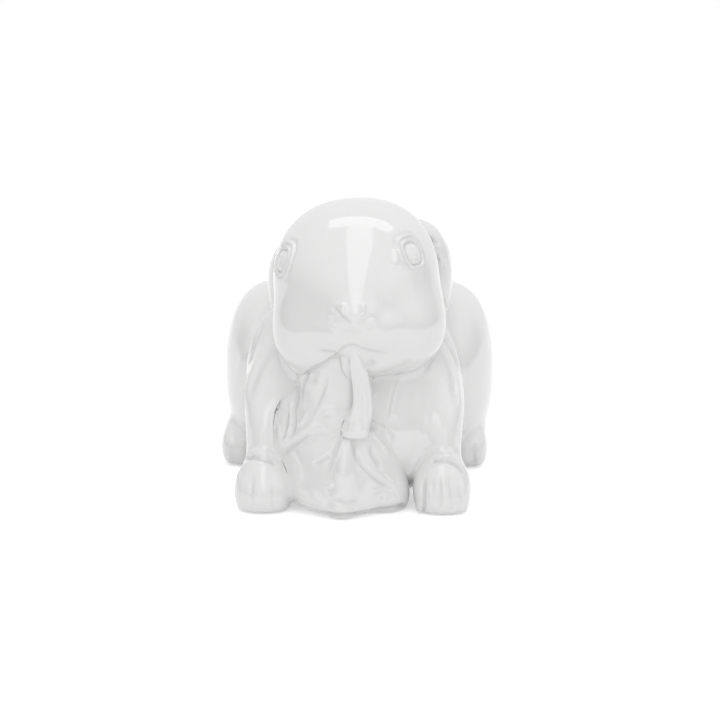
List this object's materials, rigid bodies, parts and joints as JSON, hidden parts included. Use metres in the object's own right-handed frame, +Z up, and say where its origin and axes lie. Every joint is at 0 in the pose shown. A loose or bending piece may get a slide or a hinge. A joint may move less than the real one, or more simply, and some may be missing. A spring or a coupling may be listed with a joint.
{
  "type": "rabbit figurine",
  "caption": "White glazed hollow ceramic lop-eared rabbit, crouching and holding a cabbage leaf in its mouth; a table or shelf ornament that rests on a felt pad.",
  "frame": {"origin": "under the middle of the bounding box, on the surface that the felt rests on", "axes": "+Z up; the rabbit faces -Y, so its own left side is at +X and its tail at +Y"},
  "size_m": [0.1526, 0.2295, 0.1575],
  "materials": {
    "glaze": "glossy white glaze",
    "leaf_glaze": "glossy white glaze over a veined relief",
    "felt": "pressed wool felt"
  },
  "bodies": {
    "root": {"body_shell": "glaze", "head_shell": "glaze", "ear_left": "glaze", "ear_right": "glaze", "foreleg_left": "glaze", "foreleg_right": "glaze", "hind_foot_left": "glaze", "hind_foot_right": "glaze", "tail": "glaze", "leaf_upper": "leaf_glaze", "rib_upper": "leaf_glaze", "leaf_lower": "leaf_glaze", "rib_lower": "leaf_glaze", "base_felt": "felt"}
  },
  "joints": []
}
